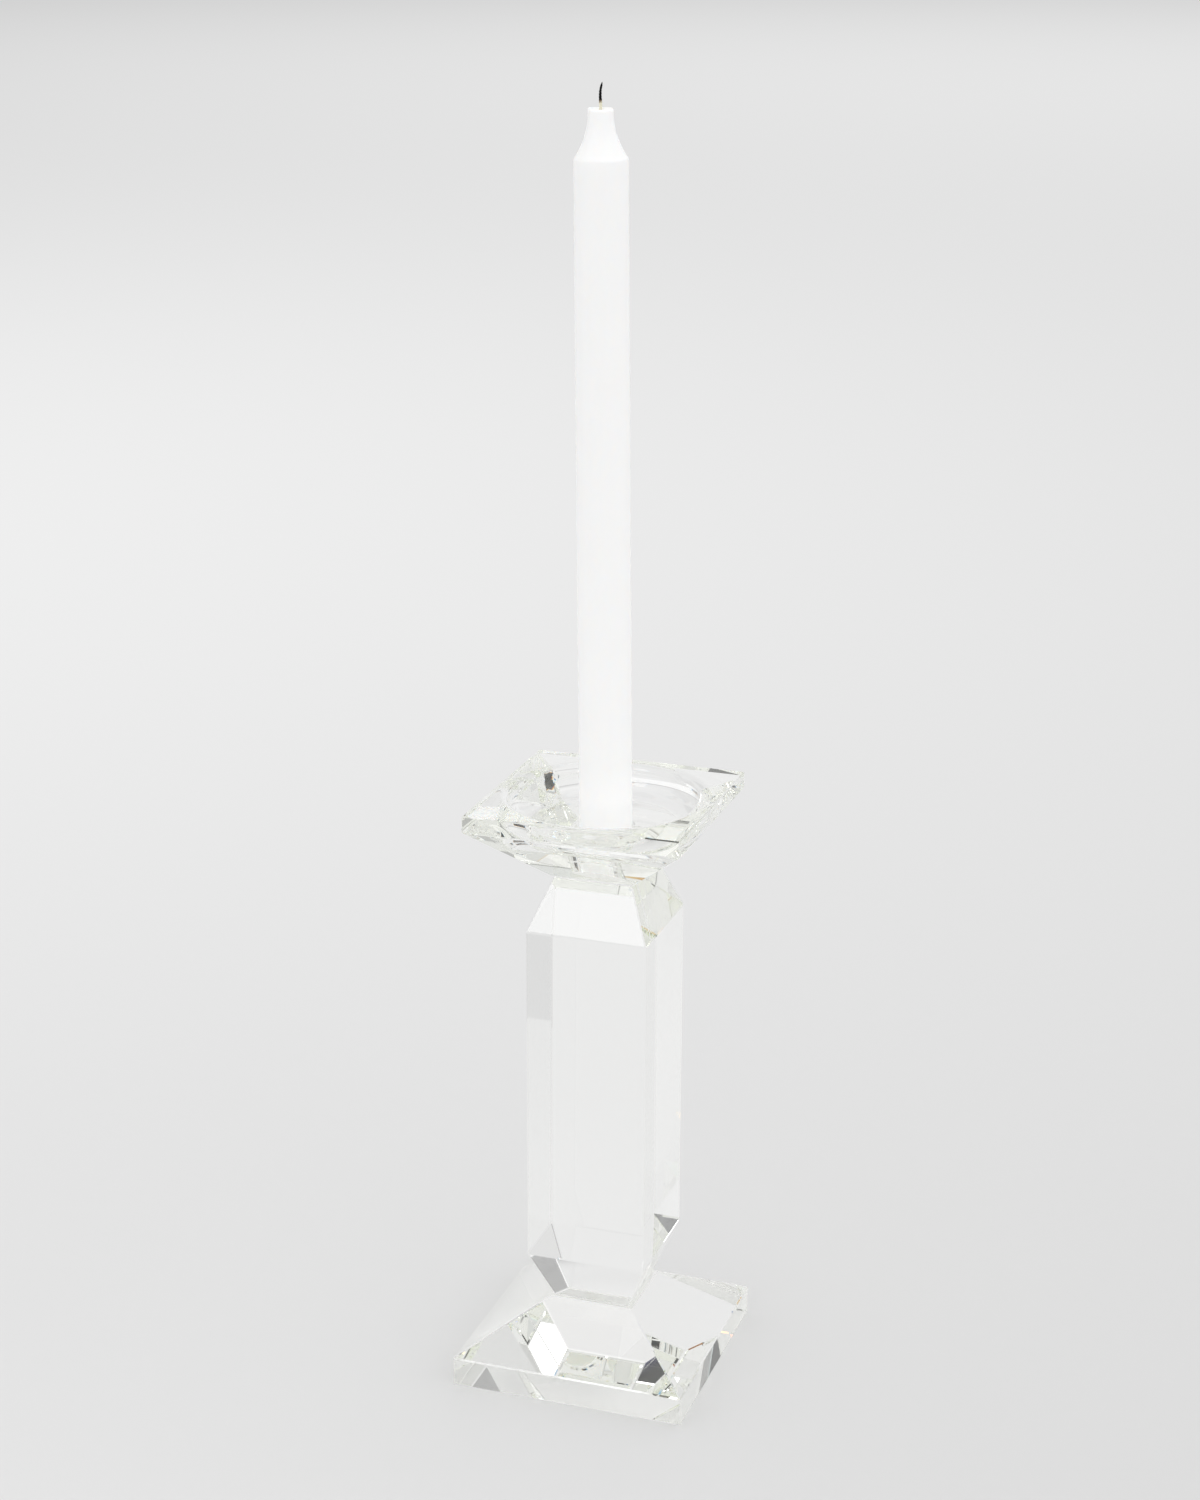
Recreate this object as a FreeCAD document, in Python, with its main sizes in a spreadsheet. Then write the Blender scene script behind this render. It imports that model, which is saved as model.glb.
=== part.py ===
import FreeCAD, Part
import math
import os

import Sketcher
from FreeCAD import Placement, Rotation, Vector

# Glass candlestick: a bevelled square foot, a square column tapered at both ends and an inverted,
# bevelled square drip pan, bonded into one stack, with a dinner candle standing in the pan's
# socket. Millimetres, +Z up. The origin is the centre of the foot's underside, and the sides of
# the square pieces lie along X and Y.

# The driving dimensions. Each is a cell of the sheet, named by its alias.
DIMENSIONS = (
    # foot block
    ("base_width", 102.0, "side of the square foot"),
    ("base_band", 12.65, "height of the foot's upright band"),
    ("base_rise", 19.05, "height of the foot's bevels"),
    ("table_width", 36.0, "side of the flat table that carries the column"),
    # clear adhesive
    ("bond_thickness", 0.2, "thickness of each cured adhesive film"),
    ("bond_width", 33.0, "side of each square adhesive film"),
    # column
    ("column_width", 52.2, "side of the column's straight shaft"),
    ("neck_width", 33.8, "side of the square neck at each end of the column"),
    ("taper_height", 22.7, "height of each tapered end"),
    ("shaft_height", 148.2, "height of the straight shaft between the tapers"),
    # drip pan
    ("pan_width", 92.2, "side of the square drip pan"),
    ("pan_underside", 35.6, "side of the flat underside bonded to the column"),
    ("pan_rise", 25.0, "height of the bevels under the pan"),
    ("pan_band", 7.2, "height of the pan's upright band"),
    ("dish_radius", 40.0, "radius of the dish's upright wall"),
    ("dish_depth", 13.6, "depth of the dish floor below the pan's top"),
    ("dish_corner", 9.0, "radius where the dish wall runs into its floor"),
    ("lip_radius", 3.8, "radius of the polished lip round the dish"),
    ("socket_radius", 11.4, "radius of the candle socket"),
    ("socket_depth", 9.6, "depth of the socket below the dish floor"),
    ("socket_mouth", 0.8, "chamfer round the mouth of the socket"),
    # every straight edge of the glass
    ("arris", 0.45, "width of the polished flat ground along each edge"),
    # candle
    ("candle_length", 300.0, "length of the wax from foot to tip"),
    ("foot_radius", 11.0, "radius of the candle at its foot"),
    ("shoulder_radius", 10.75, "radius of the candle at its shoulder"),
    ("flare_height", 19.2, "height of the flared neck above the shoulder"),
    ("tip_radius", 4.9, "radius of the candle just below its tip"),
    ("tip_round", 1.0, "radius round the edge of the tip"),
    ("well_radius", 3.4, "radius of the melted hollow round the wick"),
    ("well_depth", 0.7, "depth of that hollow"),
    ("candle_lean", 0.6, "degrees that the candle leans in its loose socket"),
    ("lean_heading", 198.8, "degrees from +X round to the side that it leans to"),
    ("seat_gap", 0.2, "gap left under the candle's foot by the lean"),
    # wick
    ("wick_radius", 0.7, "radius of the braided wick"),
    ("wick_stand", 7.6, "straight wick above the melted hollow"),
    ("wick_bend", 4.0, "radius of the bend in the exposed wick"),
    ("wick_turn", 26.0, "degrees that the exposed wick turns through"),
    ("wick_end", 1.3, "straight wick past the bend"),
)

# Which end of a sketch's line or arc a constraint holds.
START, END, CENTRE = 1, 2, 3
# The sketch's own origin, and its vertical axis, as constraints name them.
ORIGIN = (-1, START)
UPRIGHT_AXIS = -2

doc = FreeCAD.newDocument("glass_candlestick")
sheet = doc.addObject("Spreadsheet::Sheet", "Dimensions")
for row, (alias, value, note) in enumerate(DIMENSIONS, start=1):
    sheet.set(f"A{row}", note)
    sheet.set(f"B{row}", str(value))
    sheet.setAlias(f"B{row}", alias)
doc.recompute()


def size(alias):
    """The number that a sheet cell holds."""
    return float(getattr(sheet, alias))


def total(*aliases):
    """The sum of some sheet cells, taking away those written with a minus sign."""
    return sum(-size(alias[1:]) if alias[0] == "-" else size(alias) for alias in aliases)


def formula(*aliases):
    """The same sum as an expression that follows the sheet, and zero for no cells at all."""
    text = "".join(f" + Dimensions.{alias}" for alias in aliases)
    return text.replace("+ Dimensions.-", "- Dimensions.").removeprefix(" + ") or "0"


# Levels, each one a sum of cells: in the column and in the pan they count from its own underside.
BASE_TOP = ("base_band", "base_rise")
COLUMN_TOP = ("taper_height", "shaft_height", "taper_height")
PAN_TOP = ("pan_rise", "pan_band")
DISH_FLOOR = PAN_TOP + ("-dish_depth",)
SOCKET_FLOOR = DISH_FLOOR + ("-socket_depth",)
# Where each piece of the stack starts, above the foot's underside.
COLUMN_FOOT = BASE_TOP + ("bond_thickness",)
UPPER_BOND_FOOT = COLUMN_FOOT + COLUMN_TOP
PAN_FOOT = UPPER_BOND_FOOT + ("bond_thickness",)
CANDLE_FOOT = PAN_FOOT + SOCKET_FLOOR + ("seat_gap",)


def new_body(label):
    body = doc.addObject("PartDesign::Body", label)
    body.Label = label
    return body


def origin_feature(body, role):
    return next(item for item in body.Origin.OriginFeatures if item.Role == role)


def new_sketch(body, name, plane, level=()):
    """A sketch on one of the body's own origin planes, raised to a level."""
    sketch = body.newObject("Sketcher::SketchObject", name)
    sketch.AttachmentSupport = [(origin_feature(body, plane), "")]
    sketch.MapMode = "FlatFace"
    if level:
        sketch.setExpression(".AttachmentOffset.Base.z", formula(*level))
    return sketch


def draw(sketch, shapes):
    sketch.addGeometry(list(shapes), False)


def outline(*corners):
    """The straight sides of a closed outline."""
    following = corners[1:] + corners[:1]
    return [Part.LineSegment(first, second) for first, second in zip(corners, following)]


def constrain(sketch, *constraints):
    for constraint in constraints:
        sketch.addConstraint(Sketcher.Constraint(*constraint))


def drive(sketch, name, expression, *constraint):
    """Add a constraint, name it and bind its value to the sheet."""
    index = sketch.addConstraint(Sketcher.Constraint(*constraint))
    sketch.renameConstraint(index, name)
    sketch.setExpression(f"Constraints.{name}", expression)


def square_sketch(body, name, side):
    """A square centred on the Z axis."""
    sketch = new_sketch(body, name, "XY_Plane")
    reach = size(side) / 2
    corner_signs = ((-1, -1), (1, -1), (1, 1), (-1, 1))
    draw(sketch, outline(*(Vector(x * reach, y * reach, 0) for x, y in corner_signs)))
    for line in range(4):
        constrain(sketch, ("Coincident", line, END, (line + 1) % 4, START))
        constrain(sketch, ("Vertical" if line % 2 else "Horizontal", line))
    constrain(sketch, ("Symmetric", 0, START, 1, END, *ORIGIN))
    drive(sketch, "across", formula(side), "DistanceX", 0, START, 0, END, 2 * reach)
    drive(sketch, "along", formula(side), "DistanceY", 1, START, 1, END, 2 * reach)
    return sketch


def circle_sketch(body, name, radius, level=()):
    """A circle centred on the Z axis."""
    sketch = new_sketch(body, name, "XY_Plane", level)
    draw(sketch, [Part.Circle(Vector(), Vector(0, 0, 1), size(radius))])
    constrain(sketch, ("Coincident", 0, CENTRE, *ORIGIN))
    drive(sketch, "radius", formula(radius), "Radius", 0, size(radius))
    return sketch


def pad(body, name, sketch, height):
    feature = body.newObject("PartDesign::Pad", name)
    feature.Profile = sketch
    feature.setExpression("Length", formula(*height))
    return feature


def volume_now(body):
    doc.recompute()
    return body.Shape.Volume


def must_have_cut(body, before, name):
    """Stop if a cutting feature left the body as it was."""
    if volume_now(body) > before - 1.0:
        raise RuntimeError(f"{name} cut nothing from {body.Label}")


def bevel_all_round(body, name, width, bevels):
    """Grind flat bevels into all four sides of a square block of the given width.

    Each bevel takes away a triangle of the XZ plane and then turns to the other three sides. It
    starts in the block's side at one level and reaches a narrower face at another.
    """
    before = volume_now(body)
    sketch = new_sketch(body, f"{name}_outline", "XZ_Plane")
    for number, (face, side_level, face_level) in enumerate(bevels):
        outer, inner = size(width) / 2, size(face) / 2
        low, high = total(*side_level), total(*face_level)
        draw(sketch, outline(Vector(outer, low, 0), Vector(outer, high, 0), Vector(inner, high, 0)))
        side_line, face_line, bevel_line = range(3 * number, 3 * number + 3)
        constrain(
            sketch,
            ("Coincident", side_line, END, face_line, START),
            ("Coincident", face_line, END, bevel_line, START),
            ("Coincident", bevel_line, END, side_line, START),
            ("Vertical", side_line),
            ("Horizontal", face_line),
        )
        for word, expression, kind, line, value in (
            ("outer", f"Dimensions.{width} / 2", "DistanceX", side_line, outer),
            ("inner", f"Dimensions.{face} / 2", "DistanceX", bevel_line, inner),
            ("side_level", formula(*side_level), "DistanceY", side_line, low),
            ("face_level", formula(*face_level), "DistanceY", face_line, high),
        ):
            drive(sketch, f"{word}_{number}", expression, kind, *ORIGIN, line, START, value)
    cut = body.newObject("PartDesign::Pocket", name)
    cut.Profile = sketch
    cut.SideType = "Symmetric"
    cut.setExpression("Length", f"2 * Dimensions.{width}")
    must_have_cut(body, before, name)

    before = volume_now(body)
    ring = body.newObject("PartDesign::PolarPattern", f"{name}_ring")
    ring.Originals = [cut]
    ring.Axis = (origin_feature(body, "Z_Axis"), [""])
    ring.Angle = 360.0
    ring.Occurrences = 4
    body.Tip = ring
    must_have_cut(body, before, ring.Name)
    return ring


def grind_arrises(body, feature):
    """The narrow polished flat along every edge of a block that has only flat faces."""
    doc.recompute()
    arrises = body.newObject("PartDesign::Chamfer", f"{body.Label}_arrises")
    arrises.Base = (feature, [f"Edge{number + 1}" for number in range(len(feature.Shape.Edges))])
    arrises.setExpression("Size", formula("arris"))


# ---- foot block -------------------------------------------------------------------------------

def make_base():
    """A square block: an upright band, then four wide bevels up to a small flat table."""
    body = new_body("base")
    pad(body, "base_block", square_sketch(body, "base_outline", "base_width"), BASE_TOP)
    bevels = [("table_width", ("base_band",), BASE_TOP)]
    grind_arrises(body, bevel_all_round(body, "base_bevel", "base_width", bevels))
    return body


# ---- adhesive films ---------------------------------------------------------------------------

def make_bond(label, foot):
    """A square film of cured clear adhesive between two blocks."""
    body = new_body(label)
    film = square_sketch(body, f"{label}_outline", "bond_width")
    pad(body, f"{label}_film", film, ("bond_thickness",))
    body.setExpression(".Placement.Base.z", formula(*foot))
    return body


# ---- column -----------------------------------------------------------------------------------

def make_column():
    """A square shaft, bevelled at both ends down to a narrower square neck."""
    body = new_body("column")
    pad(body, "column_block", square_sketch(body, "column_outline", "column_width"), COLUMN_TOP)
    tapers = [
        ("neck_width", ("taper_height",), ()),
        ("neck_width", ("taper_height", "shaft_height"), COLUMN_TOP),
    ]
    grind_arrises(body, bevel_all_round(body, "taper", "column_width", tapers))
    body.setExpression(".Placement.Base.z", formula(*COLUMN_FOOT))
    return body


# ---- drip pan ---------------------------------------------------------------------------------

def dish_sketch(body):
    """Half the dish's section: a flat floor, a round corner, an upright wall and a round lip."""
    top, floor = total(*PAN_TOP), total(*DISH_FLOOR)
    wall, corner, lip = size("dish_radius"), size("dish_corner"), size("lip_radius")
    clear = top + lip
    corner_circle = Part.Circle(Vector(wall - corner, floor + corner, 0), Vector(0, 0, 1), corner)
    lip_circle = Part.Circle(Vector(wall + lip, top - lip, 0), Vector(0, 0, 1), lip)
    sketch = new_sketch(body, "dish_section", "XZ_Plane")
    draw(sketch, [
        Part.LineSegment(Vector(0, floor, 0), Vector(wall - corner, floor, 0)),
        Part.ArcOfCircle(corner_circle, -math.pi / 2, 0),
        Part.LineSegment(Vector(wall, floor + corner, 0), Vector(wall, top - lip, 0)),
        Part.ArcOfCircle(lip_circle, math.pi / 2, math.pi),
        Part.LineSegment(Vector(wall + lip, top, 0), Vector(wall + lip, clear, 0)),
        Part.LineSegment(Vector(wall + lip, clear, 0), Vector(0, clear, 0)),
        Part.LineSegment(Vector(0, clear, 0), Vector(0, floor, 0)),
    ])
    floor_line, corner_arc, wall_line, lip_arc, outer_line, clear_line, axis_line = range(7)
    constrain(
        sketch,
        ("Tangent", floor_line, END, corner_arc, START),
        ("Tangent", corner_arc, END, wall_line, START),
        ("Tangent", wall_line, END, lip_arc, END),
        ("Coincident", lip_arc, START, outer_line, START),
        ("Coincident", outer_line, END, clear_line, START),
        ("Coincident", clear_line, END, axis_line, START),
        ("Coincident", axis_line, END, floor_line, START),
        ("Horizontal", floor_line),
        ("Vertical", wall_line),
        ("Vertical", outer_line),
        ("Horizontal", clear_line),
        ("Vertical", lip_arc, START, lip_arc, CENTRE),
        ("PointOnObject", axis_line, START, UPRIGHT_AXIS),
        ("PointOnObject", axis_line, END, UPRIGHT_AXIS),
    )
    drive(sketch, "corner", formula("dish_corner"), "Radius", corner_arc, corner)
    drive(sketch, "lip", formula("lip_radius"), "Radius", lip_arc, lip)
    drive(sketch, "wall", formula("dish_radius"), "DistanceX", *ORIGIN, wall_line, START, wall)
    drive(sketch, "floor", formula(*DISH_FLOOR), "DistanceY", *ORIGIN, floor_line, START, floor)
    drive(sketch, "top", formula(*PAN_TOP), "DistanceY", *ORIGIN, lip_arc, START, top)
    clear_of_top = formula(*PAN_TOP, "lip_radius")
    drive(sketch, "clear", clear_of_top, "DistanceY", *ORIGIN, clear_line, START, clear)
    return sketch


def edge_round_socket(shape):
    """The name of the edge where the socket opens into the dish floor."""
    for number, edge in enumerate(shape.Edges):
        if isinstance(edge.Curve, Part.Circle):
            off_radius = abs(edge.Curve.Radius - size("socket_radius"))
            off_level = abs(edge.Curve.Center.z - total(*DISH_FLOOR))
            if off_radius + off_level < 0.01:
                return f"Edge{number + 1}"
    raise RuntimeError("the socket has no mouth")


def make_drip_pan():
    """The foot's shape turned upside down, with a round dish and a candle socket in its top."""
    body = new_body("drip_pan")
    pad(body, "pan_block", square_sketch(body, "pan_outline", "pan_width"), PAN_TOP)
    bevels = [("pan_underside", ("pan_rise",), ())]
    grind_arrises(body, bevel_all_round(body, "pan_bevel", "pan_width", bevels))

    before = volume_now(body)
    dish = body.newObject("PartDesign::Groove", "dish")
    section = dish_sketch(body)
    dish.Profile = section
    dish.ReferenceAxis = (section, ["V_Axis"])
    dish.Angle = 360.0
    must_have_cut(body, before, "dish")

    before = volume_now(body)
    socket = body.newObject("PartDesign::Pocket", "socket")
    socket.Profile = circle_sketch(body, "socket_outline", "socket_radius", DISH_FLOOR)
    socket.setExpression("Length", formula("socket_depth"))
    must_have_cut(body, before, "socket")

    mouth = body.newObject("PartDesign::Chamfer", "socket_mouth_chamfer")
    mouth.Base = (socket, [edge_round_socket(socket.Shape)])
    mouth.setExpression("Size", formula("socket_mouth"))
    body.setExpression(".Placement.Base.z", formula(*PAN_FOOT))
    return body


# ---- candle and wick --------------------------------------------------------------------------

def stand_in_socket(body):
    """Stand a piece of the candle on the socket floor, leaning with the whole candle."""
    heading = math.radians(size("lean_heading"))
    hinge_line = Vector(-math.sin(heading), math.cos(heading), 0)
    body.Placement = Placement(Vector(), Rotation(hinge_line, size("candle_lean")))
    body.setExpression(".Placement.Base.z", formula(*CANDLE_FOOT))


def candle_sketch(body):
    """Half the candle's section, with the wick's hole left open along the axis."""
    length, hole = size("candle_length"), size("wick_radius")
    foot, shoulder, tip = size("foot_radius"), size("shoulder_radius"), size("tip_radius")
    rim, well, well_foot = size("tip_round"), size("well_radius"), total("candle_length", "-well_depth")
    shoulder_level = total("candle_length", "-flare_height")
    # The flare is upright where it meets the tip's round edge, and ends at the shoulder.
    drop, spread = length - rim - shoulder_level, shoulder - tip
    flare = (drop ** 2 + spread ** 2) / (2 * spread)
    flare_circle = Part.Circle(Vector(tip + flare, length - rim, 0), Vector(0, 0, 1), flare)
    flare_sweep = math.asin(drop / flare)
    rim_circle = Part.Circle(Vector(tip - rim, length - rim, 0), Vector(0, 0, 1), rim)
    sketch = new_sketch(body, "candle_section", "XZ_Plane")
    draw(sketch, [
        Part.LineSegment(Vector(hole, 0, 0), Vector(foot, 0, 0)),
        Part.LineSegment(Vector(foot, 0, 0), Vector(shoulder, shoulder_level, 0)),
        Part.ArcOfCircle(flare_circle, math.pi, math.pi + flare_sweep),
        Part.ArcOfCircle(rim_circle, 0, math.pi / 2),
        Part.LineSegment(Vector(tip - rim, length, 0), Vector(well, length, 0)),
        Part.LineSegment(Vector(well, length, 0), Vector(hole, well_foot, 0)),
        Part.LineSegment(Vector(hole, well_foot, 0), Vector(hole, 0, 0)),
    ])
    foot_line, side_line, flare_arc, rim_arc, tip_line, well_line, hole_line = range(7)
    constrain(
        sketch,
        ("Coincident", foot_line, END, side_line, START),
        ("Coincident", side_line, END, flare_arc, END),
        ("Tangent", flare_arc, START, rim_arc, START),
        ("Tangent", rim_arc, END, tip_line, START),
        ("Coincident", tip_line, END, well_line, START),
        ("Coincident", well_line, END, hole_line, START),
        ("Coincident", hole_line, END, foot_line, START),
        ("Horizontal", foot_line),
        ("Horizontal", tip_line),
        ("Vertical", hole_line),
        ("PointOnObject", foot_line, START, -1),
    )
    shoulder_formula = formula("candle_length", "-flare_height")
    well_formula = formula("candle_length", "-well_depth")
    for name, expression, kind, line, point, value in (
        ("hole", formula("wick_radius"), "DistanceX", foot_line, START, hole),
        ("foot", formula("foot_radius"), "DistanceX", foot_line, END, foot),
        ("shoulder", formula("shoulder_radius"), "DistanceX", side_line, END, shoulder),
        ("shoulder_level", shoulder_formula, "DistanceY", side_line, END, shoulder_level),
        ("tip", formula("tip_radius"), "DistanceX", rim_arc, START, tip),
        ("length", formula("candle_length"), "DistanceY", tip_line, END, length),
        ("well", formula("well_radius"), "DistanceX", tip_line, END, well),
        ("well_foot", well_formula, "DistanceY", well_line, END, well_foot),
    ):
        drive(sketch, name, expression, kind, *ORIGIN, line, point, value)
    drive(sketch, "rim", formula("tip_round"), "Radius", rim_arc, rim)
    constrain(sketch, ("Horizontal", rim_arc, START, rim_arc, CENTRE))
    return sketch


def make_candle():
    """A dinner candle: a round, slightly tapering shaft with a concave flare up to its tip."""
    body = new_body("candle")
    section = candle_sketch(body)
    wax = body.newObject("PartDesign::Revolution", "wax")
    wax.Profile = section
    wax.ReferenceAxis = (section, ["V_Axis"])
    wax.Angle = 360.0
    stand_in_socket(body)
    return body


def wick_route(body):
    """The wick's centre line: straight up through the wax, then one bend and a straight end."""
    rise = total("candle_length", "-well_depth", "wick_stand")
    bend, turn, end = size("wick_bend"), math.radians(size("wick_turn")), size("wick_end")
    bend_circle = Part.Circle(Vector(bend, rise, 0), Vector(0, 0, 1), bend)
    past_bend = Vector(bend - bend * math.cos(turn), rise + bend * math.sin(turn), 0)
    tip = past_bend + Vector(end * math.sin(turn), end * math.cos(turn), 0)
    sketch = new_sketch(body, "wick_route", "XZ_Plane")
    draw(sketch, [
        Part.LineSegment(Vector(), Vector(0, rise, 0)),
        Part.ArcOfCircle(bend_circle, math.pi - turn, math.pi),
        Part.LineSegment(past_bend, tip),
    ])
    straight_line, bend_arc, end_line = range(3)
    constrain(
        sketch,
        ("Coincident", straight_line, START, *ORIGIN),
        ("Vertical", straight_line),
        ("Tangent", straight_line, END, bend_arc, END),
        ("Tangent", bend_arc, START, end_line, START),
    )
    rise_formula = formula("candle_length", "-well_depth", "wick_stand")
    drive(sketch, "rise", rise_formula, "DistanceY", *ORIGIN, straight_line, END, rise)
    drive(sketch, "bend", formula("wick_bend"), "Radius", bend_arc, bend)
    drive(sketch, "last", formula("wick_end"), "Distance", end_line, end)
    between = (end_line, START, straight_line, START)
    drive(sketch, "turn", "Dimensions.wick_turn * 1 deg", "Angle", *between, turn)
    return sketch


def make_wick():
    """A round wick that fills the candle's hole and bends over above it."""
    body = new_body("wick")
    strand = body.newObject("PartDesign::AdditivePipe", "strand")
    strand.Profile = circle_sketch(body, "wick_outline", "wick_radius")
    strand.Spine = (wick_route(body), [])
    stand_in_socket(body)
    return body


sub_parts = [
    make_base(),
    make_bond("lower_bond", BASE_TOP),
    make_column(),
    make_bond("upper_bond", UPPER_BOND_FOOT),
    make_drip_pan(),
    make_candle(),
    make_wick(),
]
doc.recompute()

failed = [item.Name for item in doc.Objects if {"Invalid", "Error"} & set(item.State)]
if failed:
    raise RuntimeError(f"these objects failed: {failed}")

os.makedirs("parts", exist_ok=True)
for part in sub_parts:
    shape = part.Shape
    if shape.isNull() or not shape.isValid() or len(shape.Solids) != 1:
        raise RuntimeError(f"{part.Label} is not one valid solid")
    shape.exportStep(f"parts/{part.Label}.step")
    low, high = shape.optimalBoundingBox().ZMin, shape.optimalBoundingBox().ZMax
    print(f"{part.Label}: {shape.Volume / 1000:.2f} cm3, from {low:.2f} to {high:.2f} mm")
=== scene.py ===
import math

import bpy
from mathutils import Matrix, Vector, noise


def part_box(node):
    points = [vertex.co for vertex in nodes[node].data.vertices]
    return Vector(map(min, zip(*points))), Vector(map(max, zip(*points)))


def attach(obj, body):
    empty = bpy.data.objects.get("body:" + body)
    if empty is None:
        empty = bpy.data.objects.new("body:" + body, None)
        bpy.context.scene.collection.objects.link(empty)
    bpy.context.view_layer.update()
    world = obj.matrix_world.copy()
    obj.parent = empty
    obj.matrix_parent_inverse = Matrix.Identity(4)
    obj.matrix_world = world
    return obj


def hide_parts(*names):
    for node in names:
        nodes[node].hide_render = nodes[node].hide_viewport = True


# Glass candlestick with a white dinner candle. Metres, +Z up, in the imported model's own frame.

MM = 0.001
GLASS_IOR = 1.517

# Light that falls on the floor and the candle: at the horizon, lost towards the zenith, and gained
# towards the side that it comes from.
SOFT_LIGHT = 1.34
ZENITH_LOSS = 0.35
KEY_SHARE = 0.16
KEY_HEADING = math.radians(-40)
# A level surface gets that light less two thirds of the zenith's loss, its mean over the sky by cosine.
FLOOR_LIGHT = SOFT_LIGHT - ZENITH_LOSS * 2 / 3

BONDS = ("lower_bond", "upper_bond")

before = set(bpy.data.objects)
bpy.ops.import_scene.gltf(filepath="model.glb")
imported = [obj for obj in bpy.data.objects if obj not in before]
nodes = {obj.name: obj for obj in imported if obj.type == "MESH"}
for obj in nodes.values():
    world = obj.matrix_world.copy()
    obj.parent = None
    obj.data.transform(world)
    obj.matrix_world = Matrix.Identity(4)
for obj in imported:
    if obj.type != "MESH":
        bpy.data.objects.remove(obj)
scene = bpy.context.scene
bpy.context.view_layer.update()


# ---- node helpers -----------------------------------------------------------------------------

class Tree:
    """A short way to write a node tree: values and sockets go in, sockets come out."""

    def __init__(self, owner):
        owner.use_nodes = True
        self.nodes = owner.node_tree.nodes
        self.links = owner.node_tree.links
        self.nodes.clear()

    def put(self, socket, value):
        """Link a socket to an input, or set the input's own value."""
        if isinstance(value, bpy.types.NodeSocket):
            self.links.new(value, socket)
        else:
            socket.default_value = value

    def node(self, kind, inputs=(), **settings):
        """Make a node, set it up and fill its inputs, given by number or by name."""
        made = self.nodes.new(kind)
        for name, value in settings.items():
            setattr(made, name, value)
        for key, value in dict(inputs).items():
            self.put(made.inputs[key], value)
        return made

    def math(self, operation, *values):
        return self.node("ShaderNodeMath", enumerate(values), operation=operation).outputs[0]

    def vector(self, operation, *values):
        made = self.node("ShaderNodeVectorMath", enumerate(values), operation=operation)
        return made.outputs["Value" if operation in ("DISTANCE", "DOT_PRODUCT") else "Vector"]

    def join(self, x, y, z):
        return self.node("ShaderNodeCombineXYZ", enumerate((x, y, z))).outputs[0]

    def split(self, vector):
        return self.node("ShaderNodeSeparateXYZ", {0: vector}).outputs

    def place(self):
        """The point on the surface in the model's frame, in metres."""
        return self.node("ShaderNodeTexCoord").outputs["Object"]

    def step(self, value, low, high):
        """0 below low, 1 above high and smooth between."""
        inputs = {"Value": value, "From Min": low, "From Max": high}
        return self.node("ShaderNodeMapRange", inputs, interpolation_type="SMOOTHSTEP").outputs["Result"]

    def noise(self, scale, detail, vector=None):
        """Noise from 0 to 1 with scale cells to the metre."""
        inputs = {"Vector": vector or self.place(), "Scale": scale, "Detail": detail}
        return self.node("ShaderNodeTexNoise", inputs).outputs["Fac"]

    def mix_colour(self, share, first, second):
        made = self.node("ShaderNodeMix", data_type="RGBA")
        for number, value in ((0, share), (6, first), (7, second)):
            self.put(made.inputs[number], value)
        return made.outputs[2]

    def bump(self, height, strength, distance):
        inputs = {"Height": height, "Strength": strength, "Distance": distance}
        return self.node("ShaderNodeBump", inputs).outputs[0]

    def output(self, surface, volume=None):
        made = self.node("ShaderNodeOutputMaterial", {"Surface": surface})
        if volume is not None:
            self.put(made.inputs["Volume"], volume)


def new_material(name):
    material = bpy.data.materials.new(name)
    return material, Tree(material)


def grey(value):
    return (value, value, value, 1.0)


# ---- materials --------------------------------------------------------------------------------

# Tint of the clear glass through its depth, and how strong it is in each block.
GLASS_TINT = (0.82, 0.88, 0.62, 1.0)
BLOCK_DENSITY = 0.5
PAN_DENSITY = 2.4

# Hand polishing leaves the flats a shade uneven: swells to the metre, and their height.
POLISH_SCALE = 45.0
POLISH_HEIGHT = 0.0003 * MM

# How far a face may lie from a joint's level and still be one of the joint's faces.
LEVEL_SLACK = 0.01 * MM


def glass_surface(tree, more):
    """Clear glass. An index that is linked keeps the glass's own on its socket, for the exported model."""
    plain = {"Base Color": grey(1.0), "Roughness": 0.0, "IOR": GLASS_IOR, "Transmission Weight": 1.0}
    made = tree.node("ShaderNodeBsdfPrincipled", plain)
    for name, value in more.items():
        tree.put(made.inputs[name], value)
    return made.outputs[0]


def glass_depth(tree, density):
    """The faint yellow-green that clear glass shows through its thickness."""
    inputs = {"Color": GLASS_TINT, "Density": density}
    return tree.node("ShaderNodeVolumeAbsorption", inputs).outputs[0]


def make_crystal(name, density, joint_levels, bond_half_width):
    """Polished glass. Where clear adhesive wets it, light goes on unbent: its index there is 1."""
    material, tree = new_material(name)
    x, y, z = tree.split(tree.place())
    reach = tree.math("MAXIMUM", tree.math("ABSOLUTE", x), tree.math("ABSOLUTE", y))
    at_joint = 0.0
    for level in joint_levels:
        at_joint = tree.math("ADD", tree.math("COMPARE", z, level, LEVEL_SLACK), at_joint)
    wetted = tree.math("MULTIPLY", at_joint, tree.math("LESS_THAN", reach, bond_half_width))
    index = tree.math("MULTIPLY_ADD", wetted, 1.0 - GLASS_IOR, GLASS_IOR)
    swell = tree.bump(tree.noise(POLISH_SCALE, 2.0), 1.0, POLISH_HEIGHT)
    tree.output(glass_surface(tree, {"IOR": index, "Normal": swell}), glass_depth(tree, density))
    return material


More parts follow.
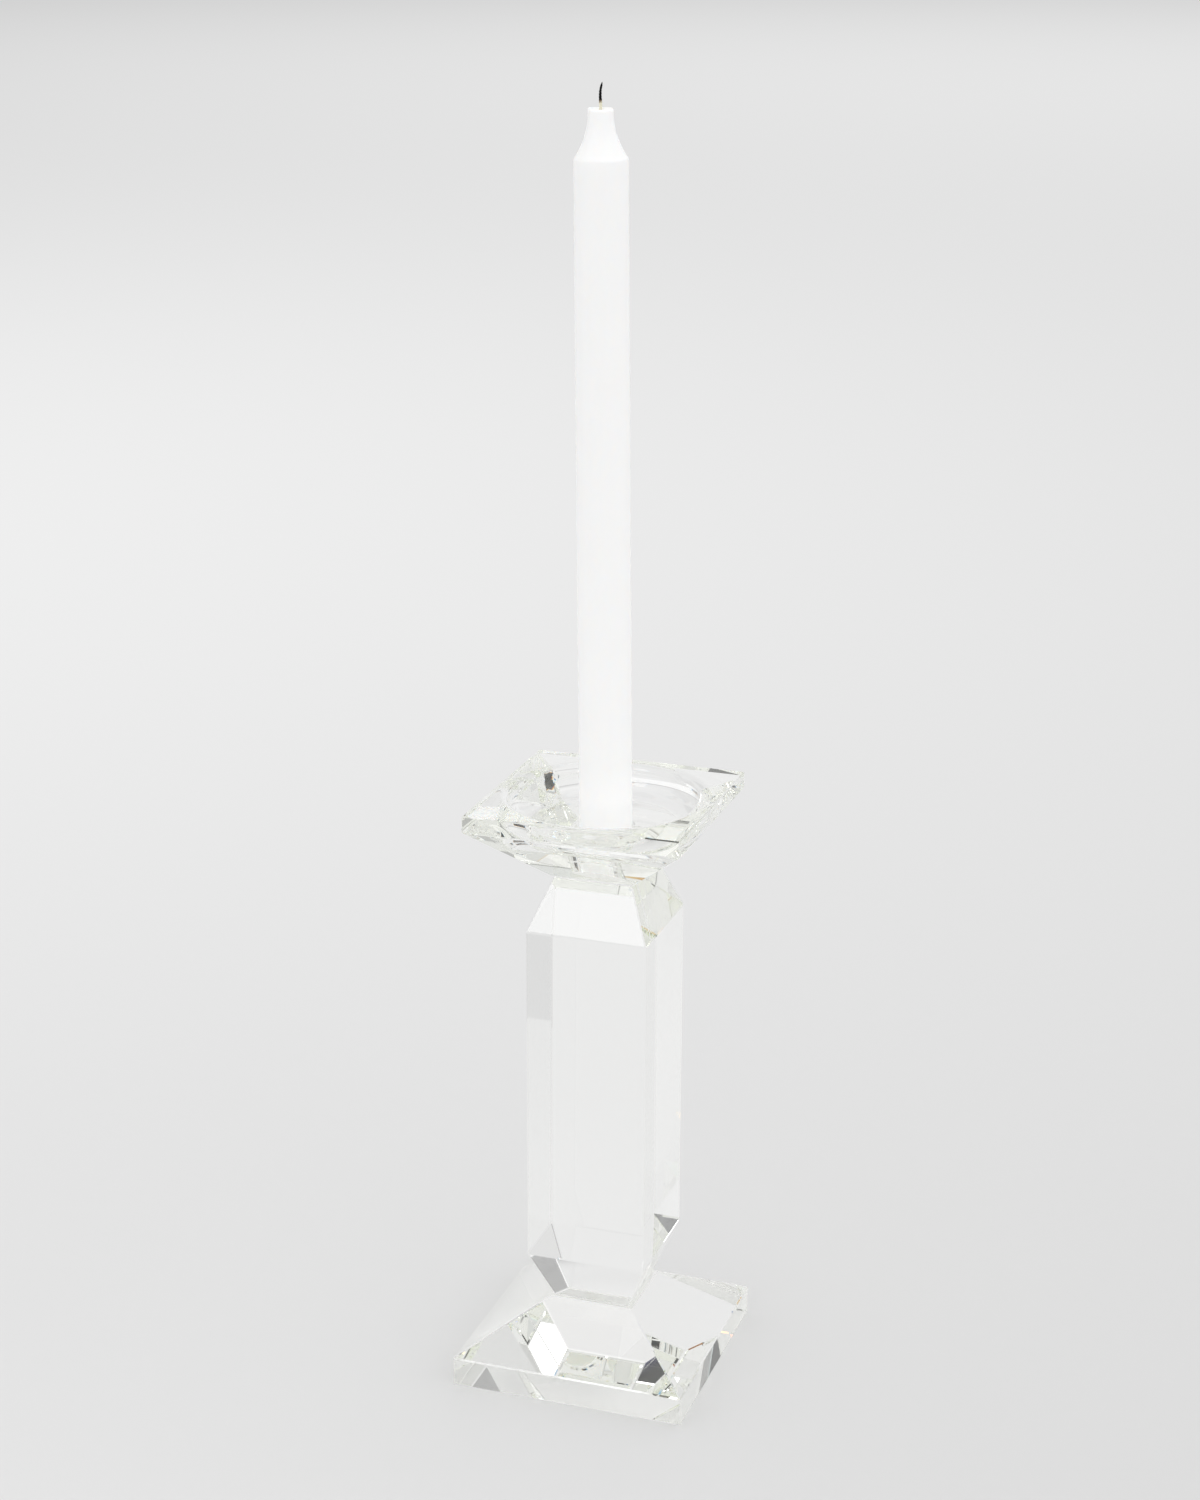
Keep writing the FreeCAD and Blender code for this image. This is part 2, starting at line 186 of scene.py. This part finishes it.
def make_adhesive():
    """The open edge of a film of cured clear adhesive: a soft, rippled gloss."""
    material, tree = new_material("adhesive_edge")
    ripple = tree.noise(1400.0, 2.0)
    inputs = {
        "IOR": 1.5,
        "Roughness": tree.math("MULTIPLY_ADD", ripple, 0.10, 0.02),
        "Normal": tree.bump(ripple, 0.5, 0.05 * MM),
    }
    tree.output(glass_surface(tree, inputs))
    return material


def make_wetted_film():
    """The film's two faces: the glass wets them, so light goes straight through."""
    material, tree = new_material("adhesive_wetted_face")
    tree.output(tree.node("ShaderNodeBsdfTransparent").outputs[0])
    return material


def make_wax():
    """White paraffin wax: soft light inside, a satin skin and faint dipping waves."""
    material, tree = new_material("paraffin_wax")
    clouds = tree.noise(90.0, 3.0)
    waves = tree.noise(60.0, 1.0, vector=tree.vector("MULTIPLY", tree.place(), (1.0, 1.0, 0.18)))
    grain = tree.noise(2600.0, 2.0)
    height = tree.math("MULTIPLY_ADD", grain, 0.06, waves)
    inputs = {
        "Base Color": tree.mix_colour(clouds, (0.945, 0.945, 0.94, 1.0), (0.965, 0.965, 0.96, 1.0)),
        "Roughness": tree.math("MULTIPLY_ADD", clouds, 0.14, 0.38),
        "IOR": 1.44,
        "Subsurface Weight": 0.5,
        "Subsurface Radius": (1.0, 0.9, 0.8),
        "Subsurface Scale": 2.0 * MM,
        "Normal": tree.bump(height, 0.35, 0.12 * MM),
    }
    tree.output(tree.node("ShaderNodeBsdfPrincipled", inputs).outputs[0])
    return material


def make_wick_cotton(char_from, char_full):
    """Waxed cotton thread, charred black from a level upwards."""
    material, tree = new_material("braided_cotton_charred")
    place = tree.place()
    _, _, z = tree.split(place)
    ragged = tree.math("MULTIPLY_ADD", tree.noise(900.0, 3.0), 1.6 * MM, z)
    charred = tree.step(ragged, char_from + 0.8 * MM, char_full + 0.8 * MM)
    singed = tree.step(ragged, char_from + 0.2 * MM, char_from + 1.1 * MM)
    fibre = tree.noise(9000.0, 2.0, vector=tree.vector("MULTIPLY", place, (1.0, 1.0, 0.12)))
    cotton = tree.mix_colour(fibre, (0.62, 0.58, 0.42, 1.0), (0.90, 0.88, 0.74, 1.0))
    brown = tree.mix_colour(singed, cotton, (0.16, 0.10, 0.05, 1.0))
    soot = tree.mix_colour(fibre, grey(0.002), grey(0.010))
    inputs = {
        "Base Color": tree.mix_colour(charred, brown, soot),
        "Roughness": tree.math("MULTIPLY_ADD", charred, 0.3, 0.6),
        "Specular IOR Level": 0.15,
        "Normal": tree.bump(fibre, 0.6, 0.08 * MM),
    }
    tree.output(tree.node("ShaderNodeBsdfPrincipled", inputs).outputs[0])
    return material


# Floor brightness: a plain level and painted pools of softbox light, each (place, spread in metres, added).
FLOOR_LEVEL = 0.55
PAINTED_LIGHT_POOLS = (
    ((-1.37, 0.73), 1.60, 0.236),
    ((-0.97, 6.26), 3.60, 0.237),
    ((-0.20, -0.60), 0.25, 0.15),
)
# Through the glass the floor shows brighter than beside it, as painted light: by a plain share, and by
# painted pools of the light that the blocks gather round and under the foot; the last pool is a painted
# shadow behind the foot. The far right shows a painted shade patch: darker floor, seen only through the
# glass.
GLASS_VIEW_PAINTED_LIFT = 1.05
GLASS_VIEW_PAINTED_POOLS = (
    ((-0.05, -0.03), 0.20, 0.08),
    ((-0.09, -0.24), 0.11, 0.06),
    ((-0.005, 0.0), 0.034, 0.11),
    ((-0.032, -0.022), 0.014, 0.08),
    ((0.010, 0.046), 0.012, 0.12),
    # A painted shadow on the floor just behind the foot.
    ((-0.025, 0.066), 0.014, -0.16),
)
# Painted shade: a darker patch of floor at the far right, seen only through the glass; its spans in x and
# y.
PAINTED_SHADE_SPANS = ((0.055, 0.16), (0.352, 0.56))
PAINTED_SHADE_EDGE = 4.0 * MM
PAINTED_SHADE_DIMMING = -0.11


def pooled(tree, level, pools):
    """A level with soft round pools added to it."""
    for (x, y), spread, added in pools:
        away = tree.math("DIVIDE", tree.vector("DISTANCE", tree.place(), (x, y, 0.0)), spread)
        pool = tree.math("EXPONENT", tree.math("MULTIPLY", tree.math("MULTIPLY", away, away), -0.5))
        level = tree.math("MULTIPLY_ADD", pool, added, level)
    return level


def make_floor_finish():
    """Pale paper with painted pools of softbox light, and painted light and shade seen through the glass.
    """
    material, tree = new_material("studio_floor")
    # Painted light: the pools of softbox light go into the floor's colour.
    level = pooled(tree, FLOOR_LEVEL, PAINTED_LIGHT_POOLS)
    # The painted shade patch: 1 inside its spans in x and y, soft at the edges.
    in_painted_shade = 1.0
    for value, (low, high) in zip(tree.split(tree.place()), PAINTED_SHADE_SPANS):
        in_painted_shade = tree.math("MULTIPLY", in_painted_shade, tree.step(value, low - PAINTED_SHADE_EDGE, low))
        in_painted_shade = tree.math("MULTIPLY", in_painted_shade, tree.step(value, high + PAINTED_SHADE_EDGE, high))
    # Painted light: seen through the glass the floor gets the painted lift, its pools and the painted shade
    # patch.
    painted_lift = pooled(tree, tree.math("MULTIPLY_ADD", in_painted_shade, PAINTED_SHADE_DIMMING, GLASS_VIEW_PAINTED_LIFT), GLASS_VIEW_PAINTED_POOLS)
    ray = tree.node("ShaderNodeLightPath").outputs
    through_glass = tree.math("GREATER_THAN", ray["Transmission Depth"], 0.5)
    straight = tree.math("LESS_THAN", ray["Diffuse Depth"], 0.5)
    share = tree.math("MULTIPLY", through_glass, straight)
    gain = tree.math("MULTIPLY_ADD", share, tree.math("SUBTRACT", painted_lift, 1.0), 1.0)
    shade = tree.math("DIVIDE", tree.math("MULTIPLY", level, gain), FLOOR_LIGHT)
    inputs = {"Base Color": tree.join(shade, shade, shade), "Roughness": 0.9, "Specular IOR Level": 0.0}
    tree.output(tree.node("ShaderNodeBsdfPrincipled", inputs).outputs[0])
    return material


# ---- meshes -----------------------------------------------------------------------------------

def make_piece(name, points, faces, material):
    mesh = bpy.data.meshes.new(name)
    mesh.from_pydata(points, [], faces)
    mesh.materials.append(material)
    mesh.shade_smooth()
    piece = bpy.data.objects.new(name, mesh)
    scene.collection.objects.link(piece)
    return piece


def tube_faces(start, rings, sides):
    """Faces of a closed tube whose rings of points follow each other from start; its two ends come last."""
    faces = []
    last = start + (rings - 1) * sides
    for ring in range(start, last, sides):
        for k in range(sides):
            n = (k + 1) % sides
            faces.append((ring + k, ring + n, ring + sides + n, ring + sides + k))
    faces.append(tuple(reversed(range(start, start + sides))))
    faces.append(tuple(range(last, last + sides)))
    return faces


# ---- glass blocks -----------------------------------------------------------------------------

def dress(node, material):
    """Give a CAD node one material on all its faces."""
    slots = nodes[node].data.materials
    slots.clear()
    slots.append(material)


def dress_glass():
    levels = [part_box(bond)[end].z for bond in BONDS for end in (0, 1)]
    half_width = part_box("lower_bond")[1].x
    clear = make_crystal("crystal_glass_polished", BLOCK_DENSITY, levels, half_width)
    dress("base", clear)
    dress("column", clear)
    dress("drip_pan", make_crystal("crystal_glass_pan", PAN_DENSITY, levels, half_width))


dress_glass()


# ---- adhesive ---------------------------------------------------------------------------------

# The films stand a hair clear of the glass, so that no two faces lie in one plane.
FILM_CLEARANCE = 0.02 * MM
FILM_RIPPLE = 0.12 * MM
FILM_CORNER = 0.8 * MM
FILM_EDGE_POINTS = 160


def film_edge(angle, half_width):
    """How far the film reaches from the axis: a square with soft corners and a faintly uneven edge."""
    straight = half_width / max(abs(math.cos(angle)), abs(math.sin(angle)))
    reach = min(straight, half_width * math.sqrt(2) - FILM_CORNER)
    spot = Vector((3.0 * math.cos(angle), 3.0 * math.sin(angle), half_width * 1000))
    return reach - FILM_RIPPLE * (0.5 + 0.5 * noise.noise(spot))


def make_film(bond, adhesive, wetted):
    """One thin film in its bond's place, its edge bulging a little at half height."""
    low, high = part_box(bond)
    half_width = high.x
    levels = [low.z + FILM_CLEARANCE, (low.z + high.z) / 2, high.z - FILM_CLEARANCE]
    bulges = [0.0, FILM_RIPPLE / 2, 0.0]
    points = []
    for level, bulge in zip(levels, bulges):
        for i in range(FILM_EDGE_POINTS):
            angle = 2 * math.pi * i / FILM_EDGE_POINTS
            reach = film_edge(angle, half_width - FILM_RIPPLE / 2) + bulge
            points.append(Vector((reach * math.cos(angle), reach * math.sin(angle), level)))
    piece = make_piece(bond + "_film", points, tube_faces(0, len(levels), FILM_EDGE_POINTS), adhesive)
    piece.data.materials.append(wetted)
    for face in piece.data.polygons[-2:]:
        face.material_index = 1
        face.use_smooth = False
    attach(piece, "holder")
    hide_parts(bond)


def make_films():
    adhesive, wetted = make_adhesive(), make_wetted_film()
    for bond in BONDS:
        make_film(bond, adhesive, wetted)


make_films()


# ---- candle -----------------------------------------------------------------------------------

# Millimetres along the candle's own axis, which leans in its loose socket.
LEAN = math.radians(0.6)
LEAN_HEADING = math.radians(198.8)
FOOT_LEVEL = 234.9
CANDLE_LENGTH = 300.0
FOOT_RADIUS = 11.0
SHOULDER_RADIUS = 10.75
SHOULDER = CANDLE_LENGTH - 19.2
TIP_RADIUS = 4.9
FOOT_ROUND = 0.6
SHOULDER_ROUND = 0.5
RIM_ROUND = 1.0
WELL_RADIUS = 3.4
WELL_DEPTH = 0.7
HOLE_RADIUS = 0.7
SHAFT_RINGS = 44
FLARE_RINGS = 26
CORNER_RINGS = 5
CANDLE_SEGMENTS = 128
CANDLE_FRAME = (
    Matrix.Translation((0.0, 0.0, FOOT_LEVEL * MM))
    @ Matrix.Rotation(LEAN, 4, (-math.sin(LEAN_HEADING), math.cos(LEAN_HEADING), 0.0))
    @ Matrix.Scale(MM, 4)
)


def arc(centre, radius, start, end, steps):
    """Points (radius from axis, height) round an arc, angles in degrees."""
    turns = [math.radians(start + (end - start) * i / steps) for i in range(steps + 1)]
    return [(centre[0] + radius * math.cos(a), centre[1] + radius * math.sin(a)) for a in turns]


def candle_outline():
    """The candle's closed section from the wick hole's foot round to the hole again."""
    drop = CANDLE_LENGTH - RIM_ROUND - SHOULDER
    spread = SHOULDER_RADIUS - TIP_RADIUS
    flare = (drop ** 2 + spread ** 2) / (2 * spread)
    sweep = math.degrees(math.asin(drop / flare))
    low, high = FOOT_ROUND, SHOULDER - SHOULDER_ROUND
    heights = [low + (high - low) * i / SHAFT_RINGS for i in range(1, SHAFT_RINGS)]
    slope = (SHOULDER_RADIUS - FOOT_RADIUS) / SHOULDER
    rim = CANDLE_LENGTH - RIM_ROUND
    # The flat foot, with two rings between the hole and the edge.
    points = [(HOLE_RADIUS, 0.0), (4.0, 0.0), (8.0, 0.0)]
    points += arc((FOOT_RADIUS - FOOT_ROUND, FOOT_ROUND), FOOT_ROUND, -90.0, 0.0, CORNER_RINGS)
    points += [(FOOT_RADIUS + slope * h, h) for h in heights]
    # The shoulder's edge is soft: three points round it instead of one.
    points += [
        (SHOULDER_RADIUS, high),
        (SHOULDER_RADIUS - 0.06, SHOULDER),
        (SHOULDER_RADIUS - 0.34, SHOULDER + 0.6),
    ]
    # The hollow flare starts where the shoulder's last point leaves off.
    points += arc((TIP_RADIUS + flare, rim), flare, 180.0 + sweep, 180.0, FLARE_RINGS)[2:]
    points += arc((TIP_RADIUS - RIM_ROUND, rim), RIM_ROUND, 15.0, 90.0, CORNER_RINGS)
    # The shallow well that the flame melted, down to the wick.
    points += [
        (WELL_RADIUS, CANDLE_LENGTH - 0.12),
        (2.4, CANDLE_LENGTH - 0.5),
        (1.3, CANDLE_LENGTH - WELL_DEPTH),
        (HOLE_RADIUS, CANDLE_LENGTH - WELL_DEPTH + 0.12),
    ]
    return points


# Where the wax stood or ran as the tip melted: (heading, reach round in degrees, rise, outward), mm.
MELTED_RIM = (
    (205.0, 20.0, 0.45, 0.10),
    (20.0, 40.0, 0.05, 0.12),
    (300.0, 30.0, -0.30, -0.05),
    (110.0, 35.0, -0.10, 0.00),
    (255.0, 16.0, -0.15, 0.06),
)
# The melted part starts this far under the top and fades in over this height.
MELT_DEPTH = 4.0
MELT_FADE = 3.2
# The shaft's skin waves this much in and out, over about this height.
SKIN_WAVE = 0.035
SKIN_WAVE_HEIGHT = 18.0


def around(angle, heading):
    """Degrees from a heading round to an angle given in radians, from -180 to 180."""
    return (math.degrees(angle) - heading + 180.0) % 360.0 - 180.0


def melt(radius, height, angle):
    """Move a point of the candle's skin as the hand-worn, once-lit wax lies."""
    melt_from = CANDLE_LENGTH - MELT_DEPTH
    near_tip = min(max((height - melt_from) / MELT_FADE, 0.0), 1.0) ** 2
    if radius > 1.0:
        for heading, reach, rise, outward in MELTED_RIM:
            share = near_tip * math.exp(-0.5 * (around(angle, heading) / reach) ** 2)
            height += rise * share * min(radius / WELL_RADIUS, 1.0)
            radius += outward * share
        if 1.0 < height < melt_from and radius > 5.0:
            spot = Vector((2.0 * math.cos(angle), 2.0 * math.sin(angle), height / SKIN_WAVE_HEIGHT))
            radius += SKIN_WAVE * noise.noise(spot)
    return radius, height


def make_revolved(name, outline, material, segments, shape):
    """Turn a closed outline round the candle's axis; shape moves each point by its angle."""
    rows = []
    for i in range(segments):
        angle = 2 * math.pi * i / segments
        for radius, height in outline:
            r, h = shape(radius, height, angle)
            rows.append(CANDLE_FRAME @ Vector((r * math.cos(angle), r * math.sin(angle), h)))
    count = len(outline)
    faces = []
    for i in range(segments):
        j = (i + 1) % segments
        for k in range(count):
            n = (k + 1) % count
            faces.append((i * count + k, j * count + k, j * count + n, i * count + n))
    return make_piece(name, rows, faces, material)


def make_candle():
    piece = make_revolved("candle_wax", candle_outline(), make_wax(), CANDLE_SEGMENTS, melt)
    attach(piece, "candle")
    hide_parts("candle")


make_candle()


# ---- wick -------------------------------------------------------------------------------------

# The wick's centre line in the candle's frame, millimetres: straight up the hole, then free.
WICK_ROUTE = (
    (0.0, 0.0, 0.0),
    (0.0, 0.0, 100.0),
    (0.0, 0.0, 200.0),
    (0.0, 0.0, 296.0),
    (0.0, 0.0, 300.5),
    (-0.04, 0.0, 302.5),
    (-0.14, 0.04, 304.4),
    (-0.08, 0.06, 306.2),
    (0.14, 0.02, 307.6),
    (0.52, -0.04, 308.8),
    (0.96, -0.06, 309.8),
)
WICK_RINGS = 150

# Inside the wax the wick is one twisted core with a lobe for each strand.
CORE_RADIUS = 0.58
CORE_LOBE = 0.08
CORE_SIDES = 18

# From here up it is a braid, whose strands start a little lower, inside the core.
BRAID_FROM = 290.0
BRAID_OVERLAP = 0.5
BRAID_PITCH = 3.3
BRAID_WIDTH = 0.33
BRAID_DEPTH = 0.15
STRANDS = 3
STRAND_RADIUS = 0.35
STRAND_SIDES = 10
STRAND_END_STEP = 0.45
STRAND_END_ROUND = 0.5
STRAND_END_SHARE = 0.15

# Burning starts above the wax and is full this much higher. It thins, tightens and crinkles the strands.
BURN_FROM = CANDLE_LENGTH + 2.0
BURN_HEIGHT = 7.0
BURN_THINNING = 0.38
BURN_TIGHTENING = 0.35
CRINKLE = 0.10
BURN_CRINKLE = 0.22

# The char starts this far above the wax and is full this much higher.
CHAR_RISE = 2.5
CHAR_FADE = 0.6


def curve_point(route, level):
    """The centre line at a height, by Catmull-Rom through the route's points."""
    index = max(i for i, p in enumerate(route[:-1]) if p[2] <= level)
    picks = [route[min(max(i, 0), len(route) - 1)] for i in range(index - 1, index + 3)]
    p0, p1, p2, p3 = (Vector(p) for p in picks)
    t = (level - p1.z) / (p2.z - p1.z)
    first = 2 * p1 + (p2 - p0) * t
    second = (2 * p0 - 5 * p1 + 4 * p2 - p3) * t ** 2
    third = (3 * (p1 - p2) + p3 - p0) * t ** 3
    made = 0.5 * (first + second + third)
    return Vector((made.x, made.y, level))


def burnt_share(level):
    """0 in fresh cotton to 1 at the burnt end."""
    return min(max((level - BURN_FROM) / BURN_HEIGHT, 0.0), 1.0)


def strand_centre(strand, level):
    """One strand's place in a flat three-strand braid round the wick's centre line."""
    phase = 2 * math.pi * (level / BRAID_PITCH + strand / STRANDS)
    tight = 1.0 - BURN_TIGHTENING * burnt_share(level)
    across = BRAID_WIDTH * tight * math.sin(phase)
    deep = BRAID_DEPTH * tight * math.sin(2 * phase)
    return curve_point(WICK_ROUTE, level) + Vector((across, deep, 0.0))


def strand_girth(strand, end, level, angle):
    """A strand's radius at a height: crinkled, thinner where it is burnt, and rounded off at its end."""
    burnt = burnt_share(level)
    crinkle = noise.noise(Vector((1.5 * math.cos(angle), 1.5 * math.sin(angle) + 7 * strand, 2.2 * level)))
    thin = STRAND_RADIUS * (1.0 - BURN_THINNING * burnt)
    rough = 1.0 + (CRINKLE + BURN_CRINKLE * burnt) * crinkle
    closing = min((end - level) / STRAND_END_ROUND, 1.0) ** 0.5
    return thin * rough * max(closing, STRAND_END_SHARE)


def core_girth(level, angle):
    """The core's radius at a height: its lobes turn once round in four pitches of the braid."""
    return CORE_RADIUS + CORE_LOBE * math.cos(3 * (angle - 2 * math.pi * level / (4 * BRAID_PITCH)))


def spaced(low, high):
    """Evenly spaced heights, one for each of the wick's rings."""
    return [low + (high - low) * i / WICK_RINGS for i in range(WICK_RINGS + 1)]


def add_tube(points, faces, centres, radius_at, sides):
    """Add a closed tube along centres; radius_at gives its radius at (ring, angle)."""
    start = len(points)
    for i, centre in enumerate(centres):
        ahead = centres[min(i + 1, len(centres) - 1)] - centres[max(i - 1, 0)]
        turn = Vector((0.0, 0.0, 1.0)).rotation_difference(ahead)
        for k in range(sides):
            angle = 2 * math.pi * k / sides
            r = radius_at(i, angle)
            spoke = Vector((r * math.cos(angle), r * math.sin(angle), 0.0))
            points.append(CANDLE_FRAME @ (centre + turn @ spoke))
    faces += tube_faces(start, len(centres), sides)


def make_wick():
    points, faces = [], []
    levels = spaced(0.0, BRAID_FROM)
    core = [curve_point(WICK_ROUTE, level) for level in levels]
    add_tube(points, faces, core, lambda i, angle: core_girth(levels[i], angle), CORE_SIDES)
    for strand in range(STRANDS):
        end = WICK_ROUTE[-1][2] - STRAND_END_STEP * strand
        heights = spaced(BRAID_FROM - BRAID_OVERLAP, end)
        centres = [strand_centre(strand, level) for level in heights]

        def girth(i, angle):
            return strand_girth(strand, end, heights[i], angle)

        add_tube(points, faces, centres, girth, STRAND_SIDES)
    char_from = FOOT_LEVEL + CANDLE_LENGTH + CHAR_RISE
    cotton = make_wick_cotton(char_from * MM, (char_from + CHAR_FADE) * MM)
    piece = make_piece("wick_braid", points, faces, cotton)
    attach(piece, "candle")
    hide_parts("wick")


make_wick()


# ---- stage ------------------------------------------------------------------------------------

# Half widths of the floor's nested squares, each twenty times the one inside it.
FLOOR_REACHES = (1.0, 20.0, 400.0)
FLOOR_GAP = 0.15 * MM


def make_floor():
    """A wide pale floor, a hair under the glass so that the two don't touch."""
    corners = ((-1, -1), (1, -1), (1, 1), (-1, 1))
    points = [(x * reach, y * reach, -FLOOR_GAP) for reach in FLOOR_REACHES for x, y in corners]
    faces = [(0, 1, 2, 3)]
    for inner in range(0, len(points) - 4, 4):
        outer = inner + 4
        for i in range(4):
            k = (i + 1) % 4
            faces.append((outer + i, outer + k, inner + k, inner + i))
    floor = make_piece("floor", points, faces, make_floor_finish())


make_floor()

# The studio as the glass sees it. Each card is (from, to) in degrees round from +X, (from, to) in
# degrees above the horizon, the softness of its edge in degrees and how bright it is.
ROOM_LIGHT = 0.86
CARDS = (
    ((72, 118), (-8, 24), 8, 1.0),
    ((24, 64), (-8, 50), 2, 0.76),
    ((64.5, 73), (12, 36), 1, 0.45),
    ((60, 150), (47, 57), 3, 0.72),
    ((8, 128), (56.5, 64), 0.7, 0.05),
    ((28, 60), (53, 60), 0.7, 0.05),
    ((-48, -18), (60, 66), 0.7, 0.15),
    ((-24, 22), (49, 62), 1, 0.42),
    ((150, 181), (58, 80), 1, 0.25),
    ((-181, -150), (58, 80), 1, 0.25),
    ((164, 181), (3, 25), 1, 0.07),
    ((174, 181), (34, 44), 1, 0.07),
    ((-181, -161), (3, 25), 1, 0.07),
    ((-137, -122), (1, 8.5), 1, 0.07),
    ((-181, -172), (14, 44), 1, 0.07),
    ((-106, -60), (5, 45), 4, 0.66),
    ((-113, -99), (2, 18.5), 1, 0.08),
    ((-124, -106), (16, 38), 0.7, 3.4),
)
# Glass spreads colours: red and blue see each card's edges this many degrees to either side of green.
COLOUR_SPREAD = 0.4


def within(tree, angles, span, softness):
    """1 inside a span of degrees and 0 outside it, for each of the three colours' angles."""
    ramps = []
    for edge in span:
        ramp = tree.node("ShaderNodeMapRange", data_type="FLOAT_VECTOR", interpolation_type="SMOOTHSTEP")
        sockets = {s.name: s for s in ramp.inputs if s.enabled}
        tree.put(sockets["Vector"], angles)
        tree.put(sockets["From Min"], (edge - softness,) * 3)
        tree.put(sockets["From Max"], (edge + softness,) * 3)
        ramps.append(ramp.outputs["Vector"])
    return tree.vector("SUBTRACT", *ramps)


def studio_cards(tree, x, y, z):
    """The room and its cards, as seen in the direction (x, y, z). A later card covers an earlier one."""
    turn = tree.math("DEGREES", tree.math("ARCTAN2", y, x))
    rise = tree.math("DEGREES", tree.math("ARCSINE", z))
    spread = (-COLOUR_SPREAD, 0.0, COLOUR_SPREAD)
    turns = tree.vector("ADD", tree.join(turn, turn, turn), spread)
    rises = tree.vector("ADD", tree.join(rise, rise, rise), spread)
    seen = (ROOM_LIGHT,) * 3
    for turn_span, rise_span, softness, bright in CARDS:
        beside = within(tree, turns, turn_span, softness)
        mask = tree.vector("MULTIPLY", beside, within(tree, rises, rise_span, softness))
        seen = tree.vector("MULTIPLY_ADD", mask, tree.vector("SUBTRACT", (bright,) * 3, seen), seen)
    return seen


def soft_light(tree, x, y, z):
    """The plain light from the direction (x, y, z)."""
    towards = (math.cos(KEY_HEADING), math.sin(KEY_HEADING), 0.0)
    side = tree.vector("DOT_PRODUCT", tree.join(x, y, z), towards)
    plain = tree.math("MULTIPLY_ADD", tree.math("MAXIMUM", z, 0.0), -ZENITH_LOSS, SOFT_LIGHT)
    plain = tree.math("MULTIPLY_ADD", side, KEY_SHARE, plain)
    return tree.join(plain, plain, plain)


def make_world():
    """Glass sees the cards, the floor and the candle get the soft light."""
    world = bpy.data.worlds.new("studio")
    scene.world = world
    tree = Tree(world)
    direction = tree.split(tree.node("ShaderNodeTexCoord").outputs["Generated"])
    ray = tree.node("ShaderNodeLightPath").outputs
    by_glass = tree.math("MAXIMUM", ray["Is Transmission Ray"], ray["Is Glossy Ray"])
    straight = tree.math("LESS_THAN", ray["Diffuse Depth"], 0.5)
    share = tree.math("MULTIPLY", by_glass, straight)
    colour = tree.mix_colour(share, soft_light(tree, *direction), studio_cards(tree, *direction))
    # Beyond the floor the room has the floor's own far tone, so no horizon stands behind the object.
    colour = tree.mix_colour(ray["Is Camera Ray"], colour, grey(FLOOR_LEVEL))
    tree.node("ShaderNodeOutputWorld", {0: tree.node("ShaderNodeBackground", {0: colour}).outputs[0]})
    world.cycles.sampling_method = "NONE"


make_world()


# ---- camera and render settings ---------------------------------------------------------------

# The camera's place, its turn from facing +Y, its tilt above level and its roll. Its range is in metres.
CAMERA_AT = Vector((0.35467, -1.05058, 0.63977))
CAMERA_TURN = math.radians(18.789)
CAMERA_TILT = math.radians(-18.128)
CAMERA_ROLL = math.radians(0.184)
LENS_MM = 68.24
SENSOR_MM = 36.0
NEAREST = 0.01
FARTHEST = 2000.0

# Light meets many faces inside the blocks before it comes out again.
GLASS_BOUNCES = 96
CLEAR_FACES = 64


def make_camera():
    data = bpy.data.cameras.new("camera")
    data.lens = LENS_MM
    data.sensor_width = SENSOR_MM
    data.clip_start = NEAREST
    data.clip_end = FARTHEST
    camera = bpy.data.objects.new("camera", data)
    turned = Matrix.Rotation(CAMERA_TURN, 4, "Z") @ Matrix.Rotation(math.pi / 2 + CAMERA_TILT, 4, "X")
    camera.matrix_world = Matrix.Translation(CAMERA_AT) @ turned @ Matrix.Rotation(CAMERA_ROLL, 4, "Z")
    scene.collection.objects.link(camera)
    scene.camera = camera


make_camera()
scene.view_settings.view_transform = "Standard"
scene.cycles.max_bounces = GLASS_BOUNCES
scene.cycles.transmission_bounces = GLASS_BOUNCES
scene.cycles.glossy_bounces = GLASS_BOUNCES
scene.cycles.transparent_max_bounces = CLEAR_FACES
scene.cycles.blur_glossy = 0.0
